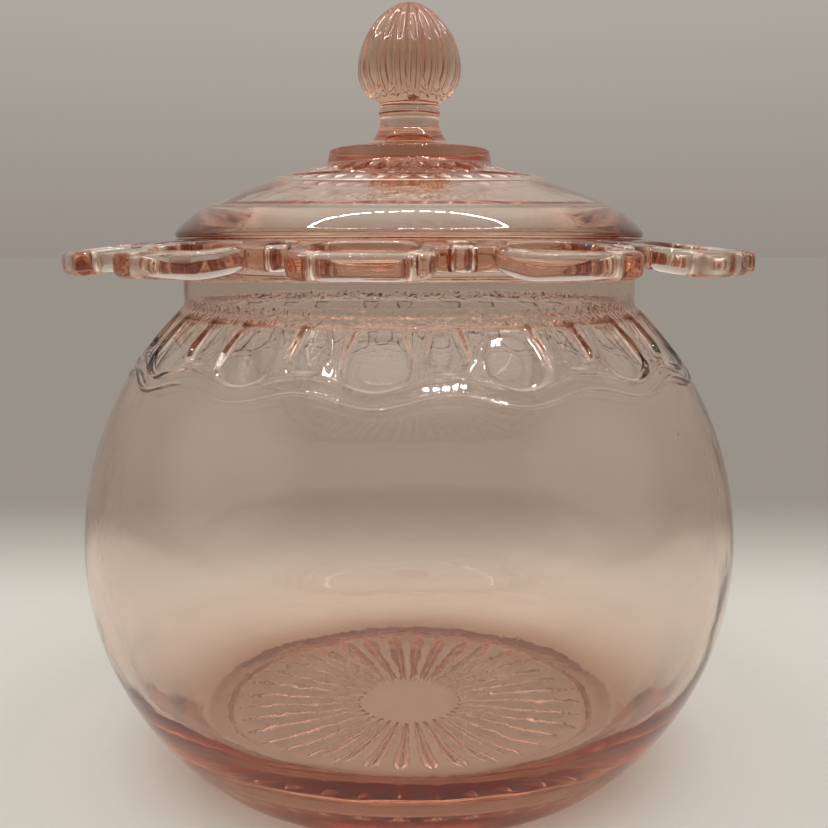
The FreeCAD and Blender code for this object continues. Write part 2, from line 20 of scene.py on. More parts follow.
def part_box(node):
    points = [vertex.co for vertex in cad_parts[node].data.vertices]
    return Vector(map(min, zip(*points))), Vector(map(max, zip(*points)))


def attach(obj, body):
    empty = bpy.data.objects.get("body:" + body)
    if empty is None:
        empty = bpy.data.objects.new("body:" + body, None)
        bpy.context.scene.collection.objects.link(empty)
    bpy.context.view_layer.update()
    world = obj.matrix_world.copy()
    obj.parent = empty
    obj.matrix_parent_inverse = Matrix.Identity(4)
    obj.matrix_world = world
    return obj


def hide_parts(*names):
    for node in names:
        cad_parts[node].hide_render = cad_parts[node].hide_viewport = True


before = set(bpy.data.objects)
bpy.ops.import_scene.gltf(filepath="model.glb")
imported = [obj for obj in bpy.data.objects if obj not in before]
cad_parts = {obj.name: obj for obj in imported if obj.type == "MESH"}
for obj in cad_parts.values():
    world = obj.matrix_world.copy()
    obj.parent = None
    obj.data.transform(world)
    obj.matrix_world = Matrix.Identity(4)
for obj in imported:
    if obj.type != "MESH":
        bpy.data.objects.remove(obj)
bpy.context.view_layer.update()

# %% [markdown]
# ## Sizes
# Glassmakers draw a piece as half of its section, so lengths here are in millimetres, as on the drawing,
# with r for the distance from the axis and z for the height. They turn into metres only when a sheet is
# wrapped. Heights that both pieces share come from the frame's boxes.

# %% Sizes shared by the whole jar
MM = 0.001
COLUMNS = 252                     # faces round a plain turned surface; divides by 12, 14, 18 and 36
PLAIN_REPEATS = 36                # a turned surface is wrapped from this many equal sectors
STEP = math.tau / COLUMNS
RING_DEPTH = 5.0                  # how far the lid's ring reaches below its seat
TINY = 1e-6                       # keeps a division by a width of 0 away

jar_low, jar_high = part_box("jar")
lid_low, lid_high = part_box("lid")
FLANGE_TOP = jar_high.z / MM
LID_SEAT = lid_low.z / MM + RING_DEPTH
print("flange top %.2f, lid seat %.2f, lid top %.2f" % (FLANGE_TOP, LID_SEAT, lid_high.z / MM))

# %% [markdown]
# ## A sheet of pattern
# A pattern that repeats 36 times needs to be modelled once. A sheet holds one repeat, unrolled: the x of a
# point is its angle round the axis, y its distance from the axis, z its height. Rows of points run along
# the angle, and faces join each row to the next. Where the next row has half as many columns, triangles
# close the step, so that plain glass needn't be as fine as the pattern beside it.

# %% Outlines and sheets
def arc(start, end, radius, rows):
    """Points after start up to end. The arc bulges to the right of its travel, or left if radius is negative.

    A radius of 0 gives a straight line.
    """
    start, end = np.array(start, float), np.array(end, float)
    steps = np.linspace(0, 1, rows + 1)[1:]
    chord = end - start
    if radius == 0:
        return [tuple(start + chord * step) for step in steps]
    length = np.hypot(*chord)
    left = np.array([-chord[1], chord[0]]) / length * math.copysign(1, radius)
    centre = (start + end) / 2 + left * math.sqrt(radius ** 2 - length ** 2 / 4)
    sweep = math.copysign(2 * math.asin(length / 2 / abs(radius)), radius)
    first = math.atan2(*(start - centre)[::-1])
    bearings = [first + sweep * step for step in steps[:-1]]
    return [tuple(centre + abs(radius) * np.array([math.cos(bearing), math.sin(bearing)]))
            for bearing in bearings] + [tuple(end)]


def arc_radius(half_chord, bulge):
    """Radius of the arc that stands out by bulge over a chord."""
    return (half_chord ** 2 + bulge ** 2) / (2 * bulge)


def outline(start, *runs):
    """The turned outline from start through runs of (r, z, arc radius or 0, rows)."""
    points = [start]
    for r, z, radius, rows in runs:
        points += arc(points[-1], (r, z), radius, rows)
    return points


class Sheet:
    """One repeat of a pressed pattern, unrolled."""

    def __init__(self, repeats):
        self.repeats = repeats
        self.points = []
        self.faces = []

    def row(self, points):
        """Adds points and returns their numbers."""
        first = len(self.points)
        self.points += [tuple(float(v) for v in point) for point in points]
        return list(range(first, len(self.points)))

    def join(self, lower, upper):
        """Faces between two rows, of which one may have half as many columns."""
        if len(lower) == len(upper):
            self.faces += [(lower[i], lower[i + 1], upper[i + 1], upper[i]) for i in range(len(lower) - 1)]
            return
        fine, coarse = (lower, upper) if len(lower) > len(upper) else (upper, lower)
        for i in range(len(coarse) - 1):
            a, b, c = fine[2 * i:2 * i + 3]
            self.faces += [(a, b, coarse[i]), (b, coarse[i + 1], coarse[i]), (b, c, coarse[i + 1])]

    def rows(self, rows):
        made = [self.row(points) for points in rows]
        for lower, upper in zip(made, made[1:]):
            self.join(lower, upper)


def even_columns(repeats):
    """Angles of the columns of plain glass across one repeat."""
    return np.arange(COLUMNS // repeats + 1) * STEP


def plain(points):
    """A turned surface with no pattern, from its outline."""
    sheet = Sheet(PLAIN_REPEATS)
    sheet.rows([[(angle, r, z) for angle in even_columns(PLAIN_REPEATS)] for r, z in points])
    return sheet


def ease(low, high, value):
    """0 below low, 1 above high, and a smooth step between."""
    t = np.clip((value - low) / (high - low), 0, 1)
    return t * t * (3 - 2 * t)


# %% [markdown]
# ## The sunburst under the base
# The mould's base plate presses 36 rays up into the underside. Each ray is a round trough that widens
# outwards and ends in a point, and it is seen from above through 7 mm of glass, which turns its steep
# edges dark. A bump map can't do that, because light has to bend at a real edge. So the columns of the
# sheet follow the ray's two edges, and the rows crowd together at its point.

# %% One ray, from the middle of one to the middle of the next
BASE_RECESS = 1.0                 # the recess keeps the pattern off the table
RECESS_RADIUS = 49.0
RAYS = 36
RAY_START, RAY_SHOULDER, RAY_TIP = 14.4, 40.0, 46.6
RAY_START_HALF, RAY_HALF = 0.45, 1.75
RAY_POINT_CURVE = 1.6             # how bluntly a ray narrows to its point
RAY_DEPTH, RAY_START_SHARE = 1.9, 0.45   # depth at the widest place, and the share of it at the inner end
TROUGH_FLOOR, TROUGH_SIDE = 1.3, 0.9     # exponents that round the trough's floor and steepen its side
RAY_COLUMNS = np.array([0, 0.3, 0.56, 0.76, 0.9, 1])   # across half a ray, crowded along its edge
RAY_LEAST_EDGE = 0.17             # least share of the pitch that those columns cover
PLAIN_EDGE = 5 / 14               # the share that they cover on plain glass, where they are even
RAY_RADII = [13.2, 14.1, *np.linspace(RAY_START, RAY_SHOULDER, 14),
             *np.linspace(RAY_SHOULDER, RAY_TIP, 10)[1:], 47.4]


def ray_width(r):
    """Half the width of a ray at r."""
    if r < RAY_SHOULDER:
        return RAY_START_HALF + (RAY_HALF - RAY_START_HALF) * (r - RAY_START) / (RAY_SHOULDER - RAY_START)
    return RAY_HALF * (1 - ((r - RAY_SHOULDER) / (RAY_TIP - RAY_SHOULDER)) ** RAY_POINT_CURVE)


def spread(across, edge, pitch):
    """Angles over one repeat: columns across half a pattern, even ones between, and the next half."""
    return np.concatenate([across, np.linspace(edge, pitch - edge, 5)[1:-1], pitch - across[::-1]])


def ray_row(r):
    """A row across half a ray, the glass between, and the next ray's half."""
    pitch = math.tau / RAYS
    if not RAY_START <= r < RAY_TIP:
        edge = PLAIN_EDGE * pitch
        return [(angle, r, BASE_RECESS) for angle in spread(np.linspace(0, edge, 6), edge, pitch)]
    half = ray_width(r) / r
    edge = max(half, RAY_LEAST_EDGE * pitch)
    angles = spread(RAY_COLUMNS * edge, edge, pitch)
    off = np.minimum(angles, pitch - angles)
    swell = RAY_START_SHARE + (1 - RAY_START_SHARE) * (r - RAY_START) / (RAY_SHOULDER - RAY_START)
    if r > RAY_SHOULDER:
        swell = math.sqrt(1 - ((r - RAY_SHOULDER) / (RAY_TIP - RAY_SHOULDER)) ** 2)
    section = np.clip(1 - (off / max(half, TINY)) ** TROUGH_FLOOR, 0, 1) ** TROUGH_SIDE
    depth = RAY_DEPTH * swell * section
    return [(angle, r, BASE_RECESS + rise) for angle, rise in zip(angles, depth)]


def sunburst():
    sheet = Sheet(RAYS)
    coarse = even_columns(RAYS)
    rows = [[(angle, r, BASE_RECESS) for angle in coarse] for r in (0, 5, 10)]
    rows += [ray_row(r) for r in RAY_RADII]
    rows.append([(angle, RECESS_RADIUS, BASE_RECESS) for angle in coarse])
    sheet.rows(rows)
    print("sunburst: %d rays, %d faces in one" % (RAYS, len(sheet.faces)))
    return sheet


# %% [markdown]
# ## The panels round the shoulder
# Just under the neck the mould cuts 14 wide and 14 narrow panels into the ball, with round feet, and
# leaves a thin web with an arched top between each two. Two thin raised lines wave below them. Each panel
# is a flat facet, so its floor is the plane that touches the ball, sunk by the panel's depth. Signed
# distance makes such a pattern easy: for any place it says how far the nearest edge of a panel is, and a
# smooth step on it gives the panel its rolled edge. The columns bend to stay along the panels' sides.

# %% One wide panel and one narrow one
BELLY_RADIUS, BELLY_HEIGHT = 82.3, 54.0
PANELS = 14
PANEL_TILT = math.radians(39.5)   # latitude of the panels' middle
PANEL_DEPTH = 0.9
PANEL_TOP = 8.4                   # along the glass, up from that latitude
WIDE_FOOT, WIDE_ARC, WIDE_HALF = -4.9, 9.6, 7.1
NARROW_FOOT, NARROW_ARC, NARROW_HALF = -0.6, 4.8, 4.6
WAVE_MIDDLE, WAVE_SWING = -6.5, 1.5
WAVE_GAP = 3.9                    # from the upper line to the lower
LINE_HALF, LINE_HEIGHT = 0.5, 0.28
LIP_HEIGHT, LIP_PLACE, LIP_WIDTH = 0.10, 0.55, 0.45   # the soft swelling just outside a panel's edge
LEAST_DEPTH = 0.12                # a panel's floor stays this far below the ball
WIDE_CLOSE, NARROW_CLOSE = 2.0, 1.4   # how far the sides close in towards the arched top
PATTERN_LOW, PATTERN_HIGH = -16.0, 9.55
ROWS_BELOW = [-15.2, -13.6, -12.4, -11.5, -11.05, -10.7, -10.4, -10.1, -9.75, -9.2, -8.4, -7.7, -7.2, -6.8,
              -6.5, -6.2, -5.8, -5.3, -4.7, -4.1]   # crowded along the two waved lines
ROWS_ABOVE = np.linspace(-3.5, 8.9, 29)


def blend_max(a, b, soft=1.2):
    """The larger of two distances, rounded where they cross."""
    h = np.clip(0.5 + 0.5 * (a - b) / soft, 0, 1)
    return b + (a - b) * h + soft * h * (1 - h)


def panel_halves(y):
    """Half widths of the wide and the narrow panel at height y: both close in towards their arched tops."""
    close = ease(-1.0, 7.5, y)
    return WIDE_HALF - WIDE_CLOSE * close, NARROW_HALF - NARROW_CLOSE * close


def panel_distance(x, y, half, foot, foot_arc, foot_half):
    """Distance to a panel's edge, negative inside. x is measured from the panel's own middle."""
    reach = np.sqrt(np.maximum(foot_arc ** 2 - np.minimum(np.abs(x), foot_half) ** 2, 0))
    foot_line = foot - (reach - math.sqrt(foot_arc ** 2 - foot_half ** 2))
    side = blend_max(np.abs(x) - half, y - PANEL_TOP, 2.4)
    return blend_max(side, foot_line - y)


def wave(x, period):
    """Height of the upper waved line."""
    return WAVE_MIDDLE - WAVE_SWING * np.cos(math.tau * x / period)


def panel_relief(x, y, period):
    """How far the glass stands out of the ball at a place on the shoulder."""
    wide_half, narrow_half = panel_halves(y)
    from_wide = np.minimum(x, period - x)
    from_narrow = np.abs(x - period / 2)
    wide = panel_distance(from_wide, y, wide_half, WIDE_FOOT, WIDE_ARC, WIDE_HALF)
    narrow = panel_distance(from_narrow, y, narrow_half, NARROW_FOOT, NARROW_ARC, NARROW_HALF)
    inside = 1 - ease(-0.65, 0.35, np.minimum(wide, narrow))
    across = np.where(wide < narrow, from_wide, from_narrow)
    floor = PANEL_DEPTH - (across ** 2 + y ** 2) / (2 * BELLY_RADIUS)
    lip = LIP_HEIGHT * np.exp(-((np.minimum(wide, narrow) - LIP_PLACE) / LIP_WIDTH) ** 2)
    lines = 0
    for drop in (0, WAVE_GAP):
        lines = lines + LINE_HEIGHT * (1 - ease(0, LINE_HALF, np.abs(y + drop - wave(x, period))))
    return lip + lines * ease(0, 0.8, wide) - inside * np.maximum(floor, LEAST_DEPTH)


def panel_columns(y, period):
    """Places of the 37 columns at height y, crowded along the panels' sides."""
    wide_half, narrow_half = panel_halves(y)
    middle = period / 2
    left = np.concatenate([
        np.linspace(0, wide_half - 0.75, 6)[:-1], np.linspace(wide_half - 0.75, wide_half + 0.5, 5),
        np.linspace(wide_half + 0.5, middle - narrow_half - 0.5, 4)[1:-1],
        np.linspace(middle - narrow_half - 0.5, middle - narrow_half + 0.75, 5),
        np.linspace(middle - narrow_half + 0.75, middle, 3)[1:]])
    return np.concatenate([left, period - left[-2::-1]])


def shoulder_point(angle, y, relief):
    """A place on the ball, y along the glass from the panels' middle and raised by relief."""
    latitude = PANEL_TILT + y / BELLY_RADIUS
    reach = BELLY_RADIUS + relief
    return (angle, reach * math.cos(latitude), BELLY_HEIGHT + reach * math.sin(latitude))


def panels():
    sheet = Sheet(PANELS)
    pitch = math.tau / PANELS
    coarse = even_columns(PANELS)
    fine = np.arange(2 * COLUMNS // PANELS + 1) * STEP / 2
    rows = [[shoulder_point(angle, PATTERN_LOW, 0) for angle in coarse]]
    for y in [*ROWS_BELOW, *ROWS_ABOVE, 9.25]:
        follow = ease(-14.5, -11.2, y) * (1 - ease(-4.5, 1.0, y))
        warp = ease(-9.0, -5.5, y) * (1 - ease(8.9, 9.2, y))
        ball = BELLY_RADIUS * math.cos(PANEL_TILT + y / BELLY_RADIUS)
        period = pitch * ball
        x = warp * panel_columns(np.clip(y, -5.0, PANEL_TOP), period) + (1 - warp) * fine * ball
        height = y + follow * (wave(x, period) - WAVE_MIDDLE)
        relief = panel_relief(x, height, period)
        rows.append([shoulder_point(*place) for place in zip(x / ball, height, relief)])
    rows.append([shoulder_point(angle, PATTERN_HIGH, 0) for angle in coarse])
    sheet.rows(rows)
    print("shoulder: %d pairs of panels, %d faces in one" % (PANELS, len(sheet.faces)))
    return sheet


# %% [markdown]
# ## The lace flange
# Twelve wide loops reach out to the edge and twelve narrow ones are set back between them, each with a
# window through the glass. A flat shape with holes can't be one grid of rows. Instead its edges are drawn
# as lines of points, each edge gets a fire-polished rounding of its own, and the flat top and bottom are
# filled with triangles between the edges. The sheet is one wide loop with the narrow loop to its left,
# and it is cut at the notch's corner, where the neighbours meet.

# %% The outlines of one wide and one narrow loop, seen from above
LOOPS = 12
LACE_TURN = 11.5 * STEP           # angle of the first wide loop's middle, in half columns
LACE_RADIUS = 84.3
SEAT_EDGE = (58.8, FLANGE_TOP)    # where the flat seat ends and the flange starts to droop
NECK_EDGE = (60.5, FLANGE_TOP - 5.0)
TOP_SLOPE, UNDER_SLOPE = 3.0 / 24.6, 3.0 / 20.8
LACE_SPACING = 1.0                # between the points of a window's edge
ROOT, ROOT_HALF, ROOT_BULGE = 71.9, 5.6, 2.6   # the front of a narrow loop, where it is set back
SIDE_HALF, SIDE_ARC_OUT = 11.0, 16.0           # half width and side arc of the gap in front of it
WIDE_WINDOW = (65.5, 78.4, 6.6, 8.6, 9.0, 30.0)     # inner and outer end, half width at each,
NARROW_WINDOW = (64.1, 69.9, 1.5, 2.1, 12.0, 2.4)   # and the arcs of the sides and of the ends
TOP_ROUND, UNDER_ROUND, WINDOW_ROUND = 1.1, 2.0, 0.8


def bulged(corners, radii):
    """A closed line through corners. Its sides are arcs, and radii[i] is that of the side to corner i."""
    points = []
    for i, (end, radius) in enumerate(zip(corners, radii)):
        start = corners[i - 1]
        length = math.dist(start, end)
        points += arc(start, end, radius, max(2, round(length / LACE_SPACING)))
    return np.array(points)


def soften(points, passes, closed, keep=()):
    """Rounds the corners of a line of points, except those numbered in keep."""
    for _ in range(passes):
        before = np.roll(points, 1, axis=0)
        after = np.roll(points, -1, axis=0)
        smooth = (before + 2 * points + after) / 4
        fixed = [*keep] if closed else [0, len(points) - 1, *keep]
        smooth[fixed] = points[fixed]
        points = smooth
    return points


def turn(points, angle):
    """Points of a plan, turned round the axis."""
    c, s = math.cos(angle), math.sin(angle)
    return np.asarray(points) @ np.array([[c, s], [-s, c]])


def window(inner, outer, inner_half, outer_half, side_arc, end_arc, angle):
    """The edge of one window, with the glass on its left."""
    corners = [(outer, outer_half), (inner, inner_half), (inner, -inner_half), (outer, -outer_half)]
    line = bulged(corners, [end_arc, side_arc, end_arc, side_arc])
    return turn(soften(line, 2, True), angle)[::-1]


def lace_edge():
    """The outer edge, from one notch corner to the next: round the wide loop and over the narrow one.

    It runs with the glass on its left, and so do the windows' edges.
    """
    half_pitch = math.pi / LOOPS
    foot = (ROOT, -ROOT_HALF)
    side = np.array([foot, *arc(foot, (LACE_RADIUS + 1.0, -SIDE_HALF), -SIDE_ARC_OUT, 15)])
    left = turn(side * (1, -1), -half_pitch)
    right = turn(side, half_pitch)
    left = left[np.hypot(*left.T) < LACE_RADIUS - 0.3]
    right = right[np.hypot(*right.T) < LACE_RADIUS - 0.3]
    limit = math.atan2(left[-1][1], left[-1][0])
    rim = [LACE_RADIUS * np.array([math.cos(a), math.sin(a)]) for a in np.linspace(limit, -limit, 22)[1:-1]]
    front = turn(arc(foot, (ROOT, ROOT_HALF), arc_radius(ROOT_HALF, ROOT_BULGE), 13), half_pitch)
    line = np.vstack([left, rim, right[::-1], front])
    corner = len(left) + len(rim) + len(right) - 1
    return soften(line, 4, False, keep=(corner,))


# %% [markdown]
# Each edge is then rolled: its rows run from the flat top, round the corner, down the side and round to
# the flat bottom. The rolled rows sit inside the drawn edge, so the lace never grows past the design.

# %% Rolled edges and flat faces of the lace
def top_height(r):
    """Height of the flange's upper face."""
    return FLANGE_TOP - max(r - SEAT_EDGE[0], 0) * TOP_SLOPE


def under_height(r):
    """Height of its lower face."""
    return NECK_EDGE[1] - max(r - NECK_EDGE[0], 0) * UNDER_SLOPE


def inward(line, closed, pitch):
    """Unit steps from an edge into the glass, longer at a sharp corner so that rolled rows stay parallel."""
    before, after = np.roll(line, 1, axis=0), np.roll(line, -1, axis=0)
    if not closed:
        before[0] = turn(line[-2:-1], -pitch)[0]
        after[-1] = turn(line[1:2], pitch)[0]
    ahead = after - line
    behind = line - before
    ahead /= np.hypot(*ahead.T)[:, None]
    behind /= np.hypot(*behind.T)[:, None]
    steps = np.stack([-(ahead + behind)[:, 1], (ahead + behind)[:, 0]], axis=1)
    steps /= np.hypot(*steps.T)[:, None]
    square = np.sum(steps * np.stack([-ahead[:, 1], ahead[:, 0]], axis=1), axis=1)
    return steps / np.maximum(square, 0.6)[:, None]


def rolled(sheet, line, closed, top_round, under_round):
    """Adds the rows of one edge. Returns the plan of its top row and that of its bottom row."""
    steps = inward(line, closed, math.tau / LOOPS)
    quarter = np.linspace(0, math.pi / 2, 4)
    profile = [(size * (1 - math.sin(a)), face, size * (1 - math.cos(a)))
               for size, face, bends in ((top_round, "top", quarter), (under_round, "under", quarter[::-1]))
               for a in bends]
    rows, plans = [], []
    for inset, face, drop in profile:
        plan = line + steps * inset
        reach = np.hypot(*plan.T)
        heights = [top_height(r) - drop if face == "top" else under_height(r) + drop for r in reach]
        angles = np.arctan2(plan[:, 1], plan[:, 0]) + LACE_TURN
        row = sheet.row(zip(angles, reach, heights))
        rows.append(row + row[:1] if closed else row)
        plans.append(plan)
    for upper, lower in zip(rows, rows[1:]):
        sheet.join(upper, lower)
    return plans[0], plans[-1]


def inside(point, loop):
    """Whether a point lies inside a closed line."""
    x, y = point
    x0, y0 = loop[:, 0], loop[:, 1]
    x1, y1 = np.roll(x0, -1), np.roll(y0, -1)
    crosses = (y0 > y) != (y1 > y)
    crossing = x0[crosses] + (y - y0[crosses]) * (x1 - x0)[crosses] / (y1 - y0)[crosses]
    return np.count_nonzero(x < crossing) % 2 == 1


def flat_face(sheet, ring_radius, edge, windows, height, spacing=1.9):
    """Fills the flat between the ring by the neck, the outer edge and the windows with even triangles."""
    pitch = math.tau / LOOPS
    ring_angles = (np.arange(COLUMNS // LOOPS + 1) - 7.5) * STEP
    ring = ring_radius * np.stack([np.cos(ring_angles), np.sin(ring_angles)], axis=1)
    end = edge[-1]
    reach, angle = math.hypot(*end), math.atan2(end[1], end[0])
    shares = np.linspace(0, 1, 9)[1:-1]
    seam = [(ring_radius + (reach - ring_radius) * s, ring_angles[-1] + (angle - ring_angles[-1]) * s)
            for s in shares]
    seam = np.array([(r * math.cos(a), r * math.sin(a)) for r, a in seam])
    border = np.vstack([ring, seam, edge[::-1], turn(seam, -pitch)[::-1]])
    fixed = [border, *windows]
    close = np.vstack(fixed)

    def on_glass(place):
        return inside(place, border) and not any(inside(place, hole) for hole in windows)

    fill = []
    for i, r in enumerate(np.arange(ring_radius + 1.2, LACE_RADIUS, spacing * 0.87)):
        count = round(r * pitch / spacing)
        for j in range(count):
            a = ring_angles[0] + pitch * (j + 0.5 * (i % 2) + 0.25) / count
            spot = np.array((r * math.cos(a), r * math.sin(a)))
            if np.min(np.hypot(*(close - spot).T)) > 0.62 * spacing and on_glass(spot):
                fill.append(spot)
    points = np.vstack([*fixed, fill])
    lines, start = [], 0
    for loop in fixed:
        lines += [(start + i, start + (i + 1) % len(loop)) for i in range(len(loop))]
        start += len(loop)
    found = delaunay_2d_cdt([Vector(p) for p in points], lines, [], 0, 1e-9, True)
    spots, triangles = found[0], found[2]
    numbers = sheet.row([(math.atan2(p[1], p[0]) + LACE_TURN, math.hypot(*p), height(math.hypot(*p)))
                         for p in spots])
    for face in triangles:
        if on_glass(np.mean([spots[i] for i in face], axis=0)):
            sheet.faces.append(tuple(numbers[i] for i in face))


def lace():
    sheet = Sheet(LOOPS)
    edge_top, edge_under = rolled(sheet, lace_edge(), False, TOP_ROUND, UNDER_ROUND)
    tops, unders = [], []
    for line in (window(*WIDE_WINDOW, 0), window(*NARROW_WINDOW, math.pi / LOOPS)):
        top, under = rolled(sheet, line, True, WINDOW_ROUND, WINDOW_ROUND)
        tops.append(top)
        unders.append(under)
    flat_face(sheet, SEAT_EDGE[0], edge_top, tops, top_height)
    flat_face(sheet, NECK_EDGE[0], edge_under, unders, under_height)
    print("lace: %d loops, %d faces in one" % (LOOPS, len(sheet.faces)))
    return sheet


# %% [markdown]
# ## The bud
# The knob is a closed bud: 18 plump ribs meet in sharp valleys, and near the stem each rib ends in the
# round tip of a petal that stands off the core. Its shape is the turned outline less a depth that depends
# on where a point is between two valleys, so one rib is a sheet whose columns crowd towards the valleys.

# %% One rib of the bud
RIBS = 18
BUD_RADIUS, BUD_BELT = 12.85, 40.8
STEM_RADIUS, BUD_START = 7.4, 33.1
BUD_TOP, TIP_RADIUS, TIP_RISE = 57.1, 3.0, 0.5
TIP_START = BUD_TOP - TIP_RISE
RIB_DEPTH, VALLEY_CURVE = 1.15, 2.1   # a higher curve gives plumper ribs with sharper valleys
PETAL_END, PETAL_CURVE, PETAL_STEP = 34.6, 2.6, 1.0
BUD_LOWER_ARC = arc_radius(BUD_BELT - BUD_START, BUD_RADIUS - STEM_RADIUS)   # upright at the belt, like the next
BUD_UPPER_ARC = arc_radius(TIP_START - BUD_BELT, BUD_RADIUS - TIP_RADIUS)
TIP_ARC = arc_radius(TIP_RADIUS, TIP_RISE)


def bud():
    sheet = Sheet(RIBS)
    turned = outline((STEM_RADIUS, BUD_START - 1.2), (STEM_RADIUS, BUD_START, 0, 3),
                     (BUD_RADIUS, BUD_BELT, BUD_LOWER_ARC, 22), (TIP_RADIUS, TIP_START, BUD_UPPER_ARC, 26),
                     (0, BUD_TOP, TIP_ARC, 4))
    columns = COLUMNS // RIBS
    even = np.linspace(-1, 1, columns + 1)
    crowded = np.sin(even * math.pi / 2)
    rows = []
    for r, z in turned:
        share = float(ease(BUD_START, BUD_START + 3, z) * ease(1.0, 5.0, r))
        place = crowded * share + even * (1 - share)
        depth = RIB_DEPTH * share * (r / BUD_RADIUS) * np.abs(place) ** VALLEY_CURVE
        petal = PETAL_END + PETAL_CURVE * np.abs(place) ** 2
        stem_side = 1 - ease(petal - 0.35, petal + 0.35, z)
        depth = depth + PETAL_STEP * stem_side * ease(BUD_START, PETAL_END - 0.2, z)
        angles = (place + 1) / 2 * math.tau / RIBS
        rows.append([(angle, max(r - dip, 0), LID_SEAT + z) for angle, dip in zip(angles, depth)])
    sheet.rows(rows)
    print("bud: %d ribs, %d faces in one" % (RIBS, len(sheet.faces)))
    return sheet


# %% [markdown]
# ## The leaves round the collar
# A ring of 36 narrow leaves lies on the dome round the collar, each a V-shaped cut with a rounded end,
# and a thin raised line closes the ring. They follow the dome, so the sheet's rows are placed on the
# dome's own arc and pushed in along it.

# %% One leaf, from the middle of one to the middle of the next
LEAVES = 36
COLLAR_RADIUS, DOME_RISE = 20.8, 17.8
SHOULDER_IN, SHOULDER_RISE, DOME_ARC = 50.7, 7.2, 140.0
LEAF_START, LEAF_WIDEST, LEAF_END = 21.6, 29.0, 31.4
LEAF_HALF, LEAF_DEPTH = 2.0, 1.15
LEAF_START_SHARE = 0.35           # half width at the collar, as a share of the widest
RING_LINE, RING_LINE_HALF, RING_LINE_HEIGHT = 33.2, 0.6, 0.45
LEAVES_LOW, LEAVES_HIGH = 34.6, 21.2   # where the sheet meets the rim's outline and the stem's
LEAF_RADII = [*np.linspace(21.5, 28.6, 13), *np.linspace(29.0, 31.7, 8),
              32.1, 32.6, 32.85, 33.0, 33.2, 33.4, 33.55, 33.8]


def dome_centre():
    """Where the centre of the dome's arc lies."""
    run, fall = SHOULDER_IN - COLLAR_RADIUS, DOME_RISE - SHOULDER_RISE
    chord = math.hypot(run, fall)
    drop = math.sqrt(DOME_ARC ** 2 - chord ** 2 / 4)
    return ((SHOULDER_IN + COLLAR_RADIUS) / 2 - drop * fall / chord,
            (DOME_RISE + SHOULDER_RISE) / 2 - drop * run / chord)


def dome_point(angle, r, relief):
    """A place on the dome at r, raised by relief along the dome's own direction."""
    axis, centre = dome_centre()
    tilt = math.acos((r - axis) / DOME_ARC)
    reach = DOME_ARC + relief
    return (angle, axis + reach * math.cos(tilt), LID_SEAT + centre + reach * math.sin(tilt))


def leaf_row(r):
    """A row across half a leaf, the dome between, and the next leaf's half."""
    pitch = math.tau / LEAVES
    share = float(ease(LEAF_START - 0.2, LEAF_START + 1.5, r)
                  * (1 - ease(LEAF_END - 0.3, LEAF_END + 0.9, r)))
    if r < LEAF_WIDEST:
        grown = max(r - LEAF_START, 0) / (LEAF_WIDEST - LEAF_START)
        half = LEAF_HALF * (LEAF_START_SHARE + (1 - LEAF_START_SHARE) * grown)
    else:
        half = LEAF_HALF * math.sqrt(max(1 - ((r - LEAF_WIDEST) / (LEAF_END - LEAF_WIDEST)) ** 2, 0))
    edge = min(max(half / r, 0.2 * pitch), 0.44 * pitch) * share + PLAIN_EDGE * pitch * (1 - share)
    angles = spread(np.linspace(0, edge, 6), edge, pitch)
    off = np.minimum(angles, pitch - angles) * r
    cut = 0 * off
    if LEAF_START < r < LEAF_END:
        cut = LEAF_DEPTH * np.clip(1 - off / max(half, TINY), 0, 1) ** TROUGH_SIDE
        cut = cut * ease(LEAF_START, LEAF_START + 1.2, r)
    line = RING_LINE_HEIGHT * (1 - ease(0, RING_LINE_HALF, abs(r - RING_LINE)))
    return [dome_point(angle, r, line - dip) for angle, dip in zip(angles, cut)]


def leaves():
    sheet = Sheet(LEAVES)
    coarse = even_columns(LEAVES)
    rows = [[dome_point(angle, LEAVES_HIGH, 0) for angle in coarse]]
    rows += [leaf_row(r) for r in LEAF_RADII]
    rows.append([dome_point(angle, LEAVES_LOW, 0) for angle in coarse])
    sheet.rows(rows)
    print("leaves: %d, %d faces in one" % (LEAVES, len(sheet.faces)))
    return sheet


# %% [markdown]
# ## The plain glass between the patterns
# Everything else is turned: the foot and the ball, the neck, the inside of the jar, the lid's collar, rim
# and ring. Small arcs stand where the fire polish rounded a corner, because a sharp corner on glass
# throws no highlight and looks cut out of paper.

# %% Turned outlines of the jar
LATITUDE_LOW = PANEL_TILT + PATTERN_LOW / BELLY_RADIUS
LATITUDE_HIGH = PANEL_TILT + PATTERN_HIGH / BELLY_RADIUS
NECK_RADIUS, NECK_FILLET, SHOULDER_FILLET = 56.5, 4.0, 1.6
MOUTH_RADIUS, MOUTH_ROUNDING = 52.5, 1.2
WALL = 3.2
INNER_RADIUS = BELLY_RADIUS - WALL
INNER_NECK_BASE = BELLY_HEIGHT + math.sqrt(INNER_RADIUS ** 2 - MOUTH_RADIUS ** 2)
LOWER_ARC = 72.15                 # outside of the bowl, from the foot up to its widest place
FLOOR_HEIGHT, FLOOR_CORNER = 8.0, 34.0
SIDE_ARC, SIDE_AXIS = LOWER_ARC - WALL, BELLY_RADIUS - LOWER_ARC
CORNER_SPAN, CORNER_RISE = SIDE_ARC - FLOOR_CORNER, BELLY_HEIGHT - FLOOR_HEIGHT - FLOOR_CORNER
FLOOR_RADIUS = SIDE_AXIS + math.sqrt(CORNER_SPAN ** 2 - CORNER_RISE ** 2)
STRETCH = SIDE_ARC / CORNER_SPAN
SIDE_FOOT = (SIDE_AXIS + (FLOOR_RADIUS - SIDE_AXIS) * STRETCH, BELLY_HEIGHT - CORNER_RISE * STRETCH)


